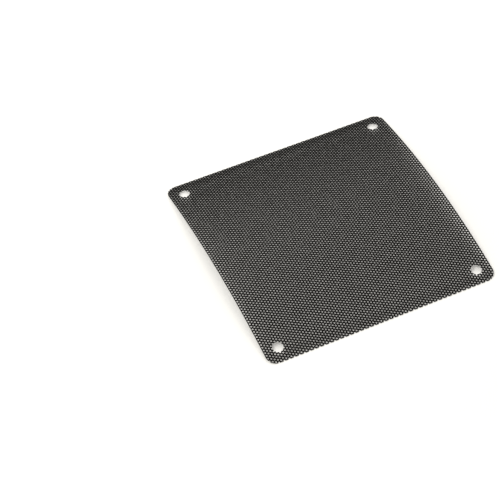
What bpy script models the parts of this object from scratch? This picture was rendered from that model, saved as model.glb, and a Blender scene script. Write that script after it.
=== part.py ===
"""A fan dust filter: one square of thin black film, punched all over with fine round holes.

It has rounded corners and a fixing hole in each, so that screws clamp it over a 120 mm fan.
Here it lies free on a surface, curled upwards, and only its front and back edges touch down.
X runs along the straight lines of the curl, Y around it and Z up; the origin is the centre
of the base. The punched holes are far finer than a solid can hold, so a field of wider gaps
stands for them, in the same staggered columns and with about the same share of open area.
"""

import math

import bmesh
import bpy
from mathutils import Vector
from mathutils.geometry import delaunay_2d_cdt

# The sheet, measured flat
SHEET_SIDE = 0.1200
SHEET_THICKNESS = 0.00045
CORNER_RADIUS = 0.0050

# Fixing holes: distance of their centres from the two nearest edges
FIXING_INSET = 0.0075
FIXING_DIAMETER = 0.0053

# The field of gaps: columns along Y, with every second column moved by half a pitch
GAP_COLUMNS = 12
GAP_DIAMETER = 0.0079

# Plain film left along the sheet's edges and around the fixing holes
PLAIN_WIDTH = 0.0010

# The curl, made of flat facets that run along X
CURL_RADIUS = 0.2776
CURL_FACETS = 8

# Straight sides that stand for a curve
GAP_SIDES = 12
FIXING_SIDES = 24
CORNER_SIDES = 8

# Points closer than this are one point
SAME_POINT = 1e-7

HALF_SIDE = SHEET_SIDE / 2
COLUMN_PITCH = (SHEET_SIDE - 2 * PLAIN_WIDTH - GAP_DIAMETER) / (GAP_COLUMNS - 1)
GAP_PITCH = COLUMN_PITCH * 2 / math.sqrt(3)
FACET_LENGTH = SHEET_SIDE / CURL_FACETS
FACET_ANGLE = 2 * math.asin(FACET_LENGTH / (2 * CURL_RADIUS))


def arc(centre, radius, start, end, sides):
    """Points from one angle to another around a centre, both ends included."""
    angles = [start + (end - start) * i / sides for i in range(sides + 1)]
    return [centre + radius * Vector((math.cos(a), math.sin(a))) for a in angles]


def circle(centre, diameter, sides):
    """A round hole, counterclockwise, with straight sides facing along X and Y."""
    start = math.pi / sides
    return arc(centre, diameter / 2, start, start + 2 * math.pi, sides)[:-1]


def rounded_square():
    """The sheet's outline, counterclockwise."""
    radius = min(CORNER_RADIUS, HALF_SIDE)
    reach = HALF_SIDE - radius
    points = []
    for quarter, (x, y) in enumerate([(1, 1), (-1, 1), (-1, -1), (1, -1)]):
        start = quarter * math.pi / 2
        points += arc(Vector((x, y)) * reach, radius, start, start + math.pi / 2, CORNER_SIDES)
    return points


def fixing_centres():
    reach = HALF_SIDE - FIXING_INSET
    return [Vector((x, y)) * reach for x in (-1, 1) for y in (-1, 1)]


def depth_inside_outline(point):
    """How far a point lies from the rounded outline, inwards."""
    radius = min(CORNER_RADIUS, HALF_SIDE)
    x = abs(point.x) - (HALF_SIDE - radius)
    y = abs(point.y) - (HALF_SIDE - radius)
    if x > 0 and y > 0:
        return radius - math.hypot(x, y)
    return radius - max(x, y)


def fits(point):
    """Whether a gap here leaves the plain film along the edges and around the fixing holes."""
    if depth_inside_outline(point) < GAP_DIAMETER / 2 + PLAIN_WIDTH - SAME_POINT:
        return False
    keep_off = (GAP_DIAMETER + FIXING_DIAMETER) / 2 + PLAIN_WIDTH
    return all((point - centre).length > keep_off for centre in fixing_centres())


def gap_centres():
    """The staggered field, centred on the sheet, without the gaps that have no room."""
    rows = int(HALF_SIDE / GAP_PITCH) + 1
    centres = []
    for column in range(GAP_COLUMNS):
        x = (column - (GAP_COLUMNS - 1) / 2) * COLUMN_PITCH
        shift = GAP_PITCH / 4 if column % 2 else -GAP_PITCH / 4
        for row in range(-rows, rows):
            centres.append(Vector((x, (row + 0.5) * GAP_PITCH + shift)))
    return [centre for centre in centres if fits(centre)]


def is_inside(point, polygon):
    """Whether a point is inside a convex, counterclockwise polygon."""
    following = polygon[1:] + polygon[:1]
    return all((b - a).cross(point - a) > 0 for a, b in zip(polygon, following))


def fold_lines():
    """The lines between neighbouring facets, right across the sheet."""
    places = [facet * FACET_LENGTH - HALF_SIDE for facet in range(1, CURL_FACETS)]
    return [[Vector((-SHEET_SIDE, y)), Vector((SHEET_SIDE, y))] for y in places]


def flat_pattern():
    """The sheet's corners and triangles in plan, split along the fold lines."""
    outline = rounded_square()
    holes = [circle(centre, FIXING_DIAMETER, FIXING_SIDES) for centre in fixing_centres()]
    holes += [circle(centre, GAP_DIAMETER, GAP_SIDES) for centre in gap_centres()]
    points = []
    edges = []
    for loop in [outline] + holes:
        first = len(points)
        points += loop
        edges += [(first + i, first + (i + 1) % len(loop)) for i in range(len(loop))]
    for line in fold_lines():
        edges.append((len(points), len(points) + 1))
        points += line
    corners, _, triangles, *_ = delaunay_2d_cdt(points, edges, [], 0, SAME_POINT, False)
    kept = []
    for triangle in triangles:
        middle = sum((corners[i] for i in triangle), Vector((0, 0))) / 3
        if not is_inside(middle, outline):
            continue
        near = [hole for hole in holes if (hole[0] - middle).length < GAP_DIAMETER + FIXING_DIAMETER]
        if not any(is_inside(middle, hole) for hole in near):
            kept.append(triangle)
    return corners, kept


def curl(point):
    """Where a point of the flat sheet lies once the sheet is curled, facet by facet."""
    radius = CURL_RADIUS + point.z / math.cos(FACET_ANGLE / 2)
    along = (point.y + HALF_SIDE) / FACET_LENGTH
    facet = min(max(int(along), 0), CURL_FACETS - 1)
    angle = (facet - CURL_FACETS / 2) * FACET_ANGLE
    start = Vector((math.sin(angle), math.cos(angle))) * radius
    end = Vector((math.sin(angle + FACET_ANGLE), math.cos(angle + FACET_ANGLE))) * radius
    across = start.lerp(end, along - facet)
    floor = CURL_RADIUS * math.cos(FACET_ANGLE * CURL_FACETS / 2)
    return Vector((point.x, across.x, across.y - floor))


def sheet_mesh():
    corners, triangles = flat_pattern()
    bm = bmesh.new()
    verts = [bm.verts.new((corner.x, corner.y, 0)) for corner in corners]
    for triangle in triangles:
        bm.faces.new([verts[i] for i in triangle])
    unused = [vert for vert in bm.verts if not vert.link_faces]
    bmesh.ops.delete(bm, geom=unused, context="VERTS")
    raised = bmesh.ops.extrude_face_region(bm, geom=bm.faces[:])["geom"]
    top = [item for item in raised if isinstance(item, bmesh.types.BMVert)]
    bmesh.ops.translate(bm, verts=top, vec=(0, 0, SHEET_THICKNESS))
    for vert in bm.verts:
        vert.co = curl(vert.co)
    bmesh.ops.recalc_face_normals(bm, faces=bm.faces[:])
    mesh = bpy.data.meshes.new("filter_sheet")
    bm.to_mesh(mesh)
    bm.free()
    mesh.shade_smooth()
    mesh.set_sharp_from_angle(angle=math.radians(35))
    return mesh


def film_material():
    material = bpy.data.materials.new("black_film")
    material.use_nodes = True
    shader = material.node_tree.nodes["Principled BSDF"]
    shader.inputs["Base Color"].default_value = (0.012, 0.012, 0.012, 1)
    shader.inputs["Roughness"].default_value = 0.45
    shader.inputs["Metallic"].default_value = 0
    return material


def main():
    for old in list(bpy.data.objects):
        bpy.data.objects.remove(old)
    mesh = sheet_mesh()
    mesh.materials.append(film_material())
    sheet = bpy.data.objects.new("filter_sheet", mesh)
    bpy.context.scene.collection.objects.link(sheet)


main()
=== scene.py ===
"""The looks of a fan dust filter: a square of thin black PVC film, punched all over with fine holes.

The film is meshed flat, with every punched hole in it, and then curled to the arc of the CAD sheet.
It is made as a left and a right half, to keep each mesh light. They meet on a straight line between
two columns of holes.
"""

import math

import bpy
import numpy as np
from mathutils import Euler, Matrix, Vector
from mathutils.geometry import delaunay_2d_cdt


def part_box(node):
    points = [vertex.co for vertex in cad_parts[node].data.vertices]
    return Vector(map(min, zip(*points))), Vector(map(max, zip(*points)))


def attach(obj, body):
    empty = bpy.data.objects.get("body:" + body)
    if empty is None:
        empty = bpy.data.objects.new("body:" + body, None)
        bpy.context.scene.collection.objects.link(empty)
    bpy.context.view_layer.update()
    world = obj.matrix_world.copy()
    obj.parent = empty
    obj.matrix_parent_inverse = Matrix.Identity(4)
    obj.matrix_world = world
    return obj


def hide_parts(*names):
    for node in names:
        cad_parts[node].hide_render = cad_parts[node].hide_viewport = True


NODE = "filter_sheet"

# The film, measured flat, in metres
THICKNESS = 0.00045
CORNER_RADIUS = 0.0050
CURL_RADIUS = 0.2776

# The fixing holes: distance of their centres from the two nearest edges
FIXING_INSET = 0.0075
FIXING_DIAMETER = 0.0053

# The punched holes stand in columns along Y, and every second column is moved by half a pitch.
# The last column is this far inside the right edge, and its rows this far from the sheet's middle.
PITCH = 0.0015
PUNCH_DIAMETER = 0.0010
COLUMN_PITCH = PITCH * math.sqrt(3) / 2
LAST_COLUMN_INSET = 0.00099
ROW_OFFSET = 0.00020
# A hole is left out if it would cut less than this into the film, from beyond its edge or from
# inside a fixing hole
GRAZE = 0.00005

# Straight sides that stand for a curve
PUNCH_SIDES = 12
FIXING_SIDES = 48
CORNER_SIDES = 16
EDGE_STEP = 0.0020
SAME_POINT = 1e-8

# Edges that bend by more than this many degrees are shaded sharp
SHARP_ANGLE = 50

# The unwrapped map: the margin round the sheet and how far the foot of a wall leans into its
# hole, both in metres, and the part of the map's width at which the underside starts
MAP_MARGIN = 0.001
WALL_LEAN = 0.00022
UNDERSIDE_START = 0.5

# The film's colours: the two between which its faces are cloudy, and that of its walls
DARK_CLOUD = (0.0023, 0.0020, 0.0014, 1)
LIGHT_CLOUD = (0.0046, 0.0040, 0.0029, 1)
WALL_COLOUR = (0.0080, 0.0076, 0.0068, 1)

# The film's roughness: from cloud to cloud, what the grain adds or takes, and what a wall adds
SMOOTH_CLOUD = 0.30
ROUGH_CLOUD = 0.38
GRAIN_SHARE = 0.05
WALL_SHARE = 0.25

# The grain as a relief, how the film reflects, and the noise: patches in a metre, and its spread
GRAIN_DEPTH = 0.00003
GRAIN_STRENGTH = 0.25
FILM_IOR = 1.53
FILM_SPECULAR = 0.055
CLOUDS_PER_METRE = 55.0
GRAINS_PER_METRE = 2600.0
NOISE_SPREAD = (0.3, 0.7)

# How upright a normal is: below the first it is a wall's, above the second a face's
UPRIGHT = (0.5, 0.8)

# The camera: its axis in degrees, where the sheet's crown lies from it in metres (right, up and
# back), and its sensor and lens in millimetres
VIEW_AZIMUTH = -25.14
VIEW_ELEVATION = 50.27
VIEW_ROLL = -0.57
CROWN_IN_VIEW = (0.03757, 0.01252, -0.84890)
SENSOR_WIDTH = 36.0
FOCAL_LENGTH = 126.76

# The light from all round, and what the floor adds to it where it is seen: a little near the
# sheet, and more far off, where the lamps hardly reach
LIGHT_COLOUR = (1.0, 0.98, 0.93)
SKY_STRENGTH = 0.48
NEAR_GLOW = 0.18
FAR_GLOW = 0.70
NEAR_REACH = 0.12
FAR_REACH = 0.9

# The white floor
FLOOR_SIDE = 6.0
FLOOR_COLOUR = (0.9, 0.9, 0.9, 1)
FLOOR_ROUGHNESS = 0.9
FLOOR_SPECULAR = 0.1


def arc(centre, radius, start, end, sides):
    """Points from one angle to another around a centre, both ends included."""
    angles = np.linspace(start, end, sides + 1)
    return np.array(centre) + radius * np.column_stack([np.cos(angles), np.sin(angles)])


def circle(centre, diameter, sides):
    start = math.pi / sides
    return arc(centre, diameter / 2, start, start + 2 * math.pi, sides)[:-1]


def rounded_square(side):
    """The sheet's outline, counterclockwise, with points along its straight edges for the curl."""
    reach = side / 2 - CORNER_RADIUS
    steps = round(2 * reach / EDGE_STEP)
    points = []
    for quarter, (x, y) in enumerate([(1, 1), (-1, 1), (-1, -1), (1, -1)]):
        start = quarter * math.pi / 2
        corner = arc((x * reach, y * reach), CORNER_RADIUS, start, start + math.pi / 2, CORNER_SIDES)
        points.append(corner)
        along = np.array([-math.sin(start + math.pi / 2), math.cos(start + math.pi / 2)])
        spaced = np.arange(1, steps)[:, None] * (2 * reach / steps)
        points.append(corner[-1] + spaced * along)
    return np.concatenate(points)


def depth_inside(points, side):
    """How far each point lies from the rounded outline, inwards."""
    over = np.abs(points) - (side / 2 - CORNER_RADIUS)
    round_part = CORNER_RADIUS - np.hypot(over[:, 0], over[:, 1])
    straight_part = CORNER_RADIUS - over.max(axis=1)
    return np.where((over > 0).all(axis=1), round_part, straight_part)


def fixing_centres(side):
    reach = side / 2 - FIXING_INSET
    return np.array([(x * reach, y * reach) for x in (-1, 1) for y in (-1, 1)])


def column_x(side, column):
    """The place of a column of holes, counted from the right edge."""
    return side / 2 - LAST_COLUMN_INSET - column * COLUMN_PITCH


def row_shift(column):
    return ROW_OFFSET + (column % 2) * PITCH / 2


def seam_x(side):
    """The line along Y where the halves meet: between two columns of holes, nearest to X = 0."""
    middle = (side / 2 - LAST_COLUMN_INSET) / COLUMN_PITCH
    return column_x(side, math.floor(middle) + 0.5)


def punch_centres(side):
    """Every punched hole that reaches into the sheet and isn't swallowed by a fixing hole."""
    columns = np.arange(-1, round(side / COLUMN_PITCH) + 2)
    rows = np.arange(-round(side / 2 / PITCH) - 2, round(side / 2 / PITCH) + 3)
    column, row = [grid.ravel() for grid in np.meshgrid(columns, rows, indexing="ij")]
    centres = np.column_stack([column_x(side, column), row * PITCH + row_shift(column)])
    radius = PUNCH_DIAMETER / 2
    punched = depth_inside(centres, side) > GRAZE - radius
    for fixing in fixing_centres(side):
        away = np.hypot(*(centres - fixing).T)
        punched &= away > FIXING_DIAMETER / 2 - radius + GRAZE
    return centres[punched]


def in_polygon(offsets, diameter, sides):
    """Whether points, given from a hole's centre, are inside its many-sided outline."""
    sector = 2 * math.pi / sides
    angle = np.arctan2(offsets[:, 1], offsets[:, 0])
    from_middle = (angle + sector / 2) % sector - sector / 2
    reach = diameter / 2 * math.cos(sector / 2) / np.cos(from_middle)
    return np.hypot(offsets[:, 0], offsets[:, 1]) < reach


def in_a_punched_hole(points, side):
    """Whether each point is in a punched hole, tested against the three nearest columns."""
    inside = np.zeros(len(points), bool)
    nearest = np.round((side / 2 - LAST_COLUMN_INSET - points[:, 0]) / COLUMN_PITCH).astype(int)
    for column in (nearest - 1, nearest, nearest + 1):
        shift = row_shift(column)
        row = np.round((points[:, 1] - shift) / PITCH)
        centres = np.column_stack([column_x(side, column), row * PITCH + shift])
        near = in_polygon(points - centres, PUNCH_DIAMETER, PUNCH_SIDES)
        near &= depth_inside(centres, side) > GRAZE - PUNCH_DIAMETER / 2
        inside |= near
    return inside


def flat_film(side):
    """Corners and counterclockwise triangles of the punched sheet in plan."""
    loops = [rounded_square(side)]
    loops += [circle(centre, FIXING_DIAMETER, FIXING_SIDES) for centre in fixing_centres(side)]
    loops += [circle(centre, PUNCH_DIAMETER, PUNCH_SIDES) for centre in punch_centres(side)]
    points, edges = [], []
    for loop in loops:
        first = len(points)
        points += [Vector(point) for point in loop]
        edges += [(first + i, first + (i + 1) % len(loop)) for i in range(len(loop))]
    seam = np.arange(-side / 2 - EDGE_STEP, side / 2 + 2 * EDGE_STEP, EDGE_STEP)
    edges += [(len(points) + i, len(points) + i + 1) for i in range(len(seam) - 1)]
    points += [Vector((seam_x(side), y)) for y in seam]
    made = delaunay_2d_cdt(points, edges, [], 0, SAME_POINT, False)
    corners = np.array([corner[:] for corner in made[0]])
    triangles = np.array(made[2])
    middles = corners[triangles].mean(axis=1)
    kept = depth_inside(middles, side) > 0
    kept &= ~in_a_punched_hole(middles, side)
    for fixing in fixing_centres(side):
        kept &= ~in_polygon(middles - fixing, FIXING_DIAMETER, FIXING_SIDES)
    return corners, triangles[kept]


def curl(points, side):
    """Rolls flat points, with Z over the underside, onto the arc that stands on its two ends."""
    angle = points[:, 1] / CURL_RADIUS
    radius = CURL_RADIUS + points[:, 2]
    floor = CURL_RADIUS * math.cos(side / 2 / CURL_RADIUS)
    return np.column_stack([points[:, 0], radius * np.sin(angle), radius * np.cos(angle) - floor])


def rim_edges(triangles):
    """The edges that only one triangle has, in that triangle's direction."""
    edges = np.concatenate([triangles[:, [0, 1]], triangles[:, [1, 2]], triangles[:, [2, 0]]])
    corner_count = int(triangles.max()) + 1
    code = edges.min(axis=1) * corner_count + edges.max(axis=1)
    _, first, count = np.unique(code, return_index=True, return_counts=True)
    return edges[first[count == 1]]


def lean_of_corners(corners, rims):
    """Unit vectors at the rim's corners that point out of the film, zero elsewhere."""
    along = corners[rims[:, 1]] - corners[rims[:, 0]]
    outward = np.column_stack([along[:, 1], -along[:, 0]])
    outward /= np.hypot(*outward.T)[:, None]
    lean = np.zeros_like(corners)
    for end in (0, 1):
        np.add.at(lean, rims[:, end], outward)
    length = np.hypot(*lean.T)[:, None]
    return np.divide(lean, length, out=np.zeros_like(lean), where=length > 0)


def film_piece(name, corners, triangles, side, material):
    """One half of the film, as a closed mesh with its walls, curled to its arc."""
    used, renumbered = np.unique(triangles, return_inverse=True)
    corners, triangles = corners[used], renumbered.reshape(-1, 3)
    count = len(corners)
    rims = rim_edges(triangles)
    flat = np.zeros((2 * count, 3))
    flat[:, :2] = np.tile(corners, (2, 1))
    flat[count:, 2] = THICKNESS
    start, end = rims.T
    walls = np.concatenate(
        [np.column_stack([start, end, end + count]), np.column_stack([start, end + count, start + count])]
    )
    faces = np.concatenate([triangles + count, triangles[:, ::-1], walls])

    mesh = bpy.data.meshes.new(name)
    mesh.from_pydata(curl(flat, side).tolist(), [], faces.tolist())
    mesh.materials.append(material)
    add_map(mesh, corners, rims, len(triangles), faces, side)
    mesh.shade_smooth()
    mesh.set_sharp_from_angle(angle=math.radians(SHARP_ANGLE))
    piece = bpy.data.objects.new(name, mesh)
    bpy.context.scene.collection.objects.link(piece)
    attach(piece, "root")
    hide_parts(NODE)


def add_map(mesh, corners, rims, top_faces, faces, side):
    """Unwraps the top and its walls on the left of the map, and the underside beside it."""
    count = len(corners)
    low = corners.min(axis=0)
    leaned = corners + lean_of_corners(corners, rims) * WALL_LEAN
    scale = side + 4 * MAP_MARGIN
    top_map = (corners - low + MAP_MARGIN) / scale
    wall_foot = (leaned - low + MAP_MARGIN) / scale
    under_map = top_map + np.array([UNDERSIDE_START, 0])
    uv = np.empty((len(faces), 3, 2))
    uv[:top_faces] = top_map[faces[:top_faces] - count]
    uv[top_faces : 2 * top_faces] = under_map[faces[top_faces : 2 * top_faces]]
    wall = faces[2 * top_faces :]
    raised = wall >= count
    uv[2 * top_faces :] = np.where(raised[..., None], top_map[wall % count], wall_foot[wall % count])
    layer = mesh.uv_layers.new(name="OFBake")
    layer.data.foreach_set("uv", uv.ravel())


def noise(nodes, links, coordinates, scale, detail, roughness):
    texture = nodes.new("ShaderNodeTexNoise")
    texture.inputs["Scale"].default_value = scale
    texture.inputs["Detail"].default_value = detail
    texture.inputs["Roughness"].default_value = roughness
    links.new(coordinates, texture.inputs["Vector"])
    return texture.outputs["Fac"]


def mapped(nodes, links, value, low, high, new_low, new_high):
    """Maps one range of values to another."""
    node = nodes.new("ShaderNodeMapRange")
    for name, number in zip(("From Min", "From Max", "To Min", "To Max"), (low, high, new_low, new_high)):
        node.inputs[name].default_value = number
    links.new(value, node.inputs["Value"])
    return node.outputs["Result"]


def combined(nodes, links, operation, first, second):
    """One of the Math node's operations on two values, the second of which may be a number."""
    node = nodes.new("ShaderNodeMath")
    node.operation = operation
    links.new(first, node.inputs[0])
    if isinstance(second, float):
        node.inputs[1].default_value = second
    else:
        links.new(second, node.inputs[1])
    return node.outputs["Value"]


def mixed(nodes, links, factor, first, second):
    """Mixes two colours, each of them a socket or a tuple of numbers."""
    node = nodes.new("ShaderNodeMix")
    node.data_type = "RGBA"
    links.new(factor, node.inputs["Factor"])
    for name, colour in (("A", first), ("B", second)):
        if isinstance(colour, tuple):
            node.inputs[name].default_value = colour
        else:
            links.new(colour, node.inputs[name])
    return node.outputs["Result"]


def punched_wall(nodes, links, normal):
    """Is 1 on the walls of the holes and on the cut edge, and 0 on the two faces of the film."""
    parts = nodes.new("ShaderNodeSeparateXYZ")
    links.new(normal, parts.inputs["Vector"])
    upright = nodes.new("ShaderNodeMath")
    upright.operation = "ABSOLUTE"
    links.new(parts.outputs["Z"], upright.inputs[0])
    return mapped(nodes, links, upright.outputs["Value"], *UPRIGHT, 1.0, 0.0)


def film_material():
    """Black PVC film with a faint sheen: grained faces, and walls a shade lighter and duller."""
    material = bpy.data.materials.new("black_film")
    material.use_nodes = True
    nodes, links = material.node_tree.nodes, material.node_tree.links
    shader = nodes["Principled BSDF"]
    coordinates = nodes.new("ShaderNodeTexCoord")
    place = coordinates.outputs["Object"]
    clouds = noise(nodes, links, place, CLOUDS_PER_METRE, detail=4.0, roughness=0.55)
    cloudy = mapped(nodes, links, clouds, *NOISE_SPREAD, 0.0, 1.0)
    grain = noise(nodes, links, place, GRAINS_PER_METRE, detail=3.0, roughness=0.6)
    wall = punched_wall(nodes, links, coordinates.outputs["Normal"])

    face = mixed(nodes, links, cloudy, DARK_CLOUD, LIGHT_CLOUD)
    links.new(mixed(nodes, links, wall, face, WALL_COLOUR), shader.inputs["Base Color"])

    uneven = mapped(nodes, links, cloudy, 0.0, 1.0, SMOOTH_CLOUD, ROUGH_CLOUD)
    fine = mapped(nodes, links, grain, *NOISE_SPREAD, -GRAIN_SHARE, GRAIN_SHARE)
    grainy = combined(nodes, links, "ADD", uneven, fine)
    dull = combined(nodes, links, "MULTIPLY", wall, WALL_SHARE)
    links.new(combined(nodes, links, "ADD", grainy, dull), shader.inputs["Roughness"])

    bump = nodes.new("ShaderNodeBump")
    bump.inputs["Strength"].default_value = GRAIN_STRENGTH
    bump.inputs["Distance"].default_value = GRAIN_DEPTH
    links.new(grain, bump.inputs["Height"])
    links.new(bump.outputs["Normal"], shader.inputs["Normal"])
    shader.inputs["IOR"].default_value = FILM_IOR
    shader.inputs["Specular IOR Level"].default_value = FILM_SPECULAR
    return material


def make_film(side):
    """The whole film, as its two halves."""
    corners, triangles = flat_film(side)
    is_right = corners[triangles][:, :, 0].mean(axis=1) > seam_x(side)
    material = film_material()
    film_piece("filter_sheet_left", corners, triangles[~is_right], side, material)
    film_piece("filter_sheet_right", corners, triangles[is_right], side, material)


def seen_directly(nodes, links):
    """Is 1 for what the camera sees, also in a reflection or through glass, and 0 for lighting."""
    path = nodes.new("ShaderNodeLightPath").outputs
    mirrored = combined(nodes, links, "MAXIMUM", path["Is Glossy Ray"], path["Is Transmission Ray"])
    return combined(nodes, links, "MAXIMUM", path["Is Camera Ray"], mirrored)


def floor_material():
    """Matt white, and brighter where it is seen, so that it is as white as the world."""
    material = bpy.data.materials.new("white_floor")
    material.use_nodes = True
    nodes, links = material.node_tree.nodes, material.node_tree.links
    shader = nodes["Principled BSDF"]
    shader.inputs["Base Color"].default_value = FLOOR_COLOUR
    shader.inputs["Roughness"].default_value = FLOOR_ROUGHNESS
    shader.inputs["Specular IOR Level"].default_value = FLOOR_SPECULAR
    shader.inputs["Emission Color"].default_value = (*LIGHT_COLOUR, 1)
    distance = nodes.new("ShaderNodeVectorMath")
    distance.operation = "LENGTH"
    links.new(nodes.new("ShaderNodeTexCoord").outputs["Object"], distance.inputs[0])
    glow = mapped(nodes, links, distance.outputs["Value"], NEAR_REACH, FAR_REACH, NEAR_GLOW, FAR_GLOW)
    seen = combined(nodes, links, "MULTIPLY", glow, seen_directly(nodes, links))
    links.new(seen, shader.inputs["Emission Strength"])
    return material


def make_floor():
    reach = FLOOR_SIDE / 2
    corners = [(-reach, -reach, 0), (reach, -reach, 0), (reach, reach, 0), (-reach, reach, 0)]
    mesh = bpy.data.meshes.new("floor")
    mesh.from_pydata(corners, [], [(0, 1, 2, 3)])
    mesh.materials.append(floor_material())
    floor = bpy.data.objects.new("floor", mesh)
    bpy.context.scene.collection.objects.link(floor)


def make_world():
    """Soft light from all round, and plain white where the camera looks past the floor."""
    world = bpy.data.worlds.new("studio")
    bpy.context.scene.world = world
    world.use_nodes = True
    nodes, links = world.node_tree.nodes, world.node_tree.links
    background = nodes["Background"]
    seen = seen_directly(nodes, links)
    links.new(mixed(nodes, links, seen, (*LIGHT_COLOUR, 1), (1, 1, 1, 1)), background.inputs["Color"])
    links.new(mapped(nodes, links, seen, 0.0, 1.0, SKY_STRENGTH, 1.0), background.inputs["Strength"])


def add_softbox(name, azimuth, elevation, distance, size, power):
    """A square lamp that faces the sheet from an azimuth and elevation in degrees."""
    a, e = math.radians(azimuth), math.radians(elevation)
    back = Vector((math.sin(a) * math.cos(e), -math.cos(a) * math.cos(e), math.sin(e)))
    light = bpy.data.lights.new(name, "AREA")
    light.shape = "SQUARE"
    light.size = size
    light.energy = power
    light.color = LIGHT_COLOUR
    lamp = bpy.data.objects.new(name, light)
    lamp.location = back * distance
    lamp.rotation_mode = "QUATERNION"
    lamp.rotation_quaternion = back.to_track_quat("Z", "Y")
    bpy.context.scene.collection.objects.link(lamp)


def make_lights():
    """Softboxes on the left and behind, so that the sheet itself hides most of its shade."""
    add_softbox("key", azimuth=-95, elevation=62, distance=1.2, size=0.6, power=5.2)
    add_softbox("fill", azimuth=-130, elevation=60, distance=1.4, size=0.9, power=1.6)
    add_softbox("back", azimuth=168, elevation=48, distance=1.2, size=0.6, power=4.2)


def make_camera(crown):
    """Stands the camera so that the sheet falls where the photograph shows it."""
    data = bpy.data.cameras.new("camera")
    data.sensor_width = SENSOR_WIDTH
    data.lens = FOCAL_LENGTH
    data.dof.use_dof = False
    camera = bpy.data.objects.new("camera", data)
    tilt = math.radians(90 - VIEW_ELEVATION)
    turn = Euler((tilt, 0, math.radians(VIEW_AZIMUTH)), "XYZ").to_matrix()
    rotation = turn @ Matrix.Rotation(math.radians(VIEW_ROLL), 3, "Z")
    camera.matrix_world = Matrix.Translation(crown - rotation @ Vector(CROWN_IN_VIEW)) @ rotation.to_4x4()
    bpy.context.scene.collection.objects.link(camera)
    bpy.context.scene.camera = camera


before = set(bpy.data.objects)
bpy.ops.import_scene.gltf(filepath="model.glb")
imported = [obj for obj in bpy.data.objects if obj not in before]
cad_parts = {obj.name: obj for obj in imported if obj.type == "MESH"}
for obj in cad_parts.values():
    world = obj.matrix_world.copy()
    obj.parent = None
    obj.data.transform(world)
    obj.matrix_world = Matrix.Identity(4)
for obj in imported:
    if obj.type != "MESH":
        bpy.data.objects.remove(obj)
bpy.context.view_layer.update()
low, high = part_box(NODE)
make_film(high.x - low.x)
make_floor()
make_world()
make_lights()
make_camera(Vector((0, 0, high.z)))
bpy.context.scene.view_settings.view_transform = "Standard"
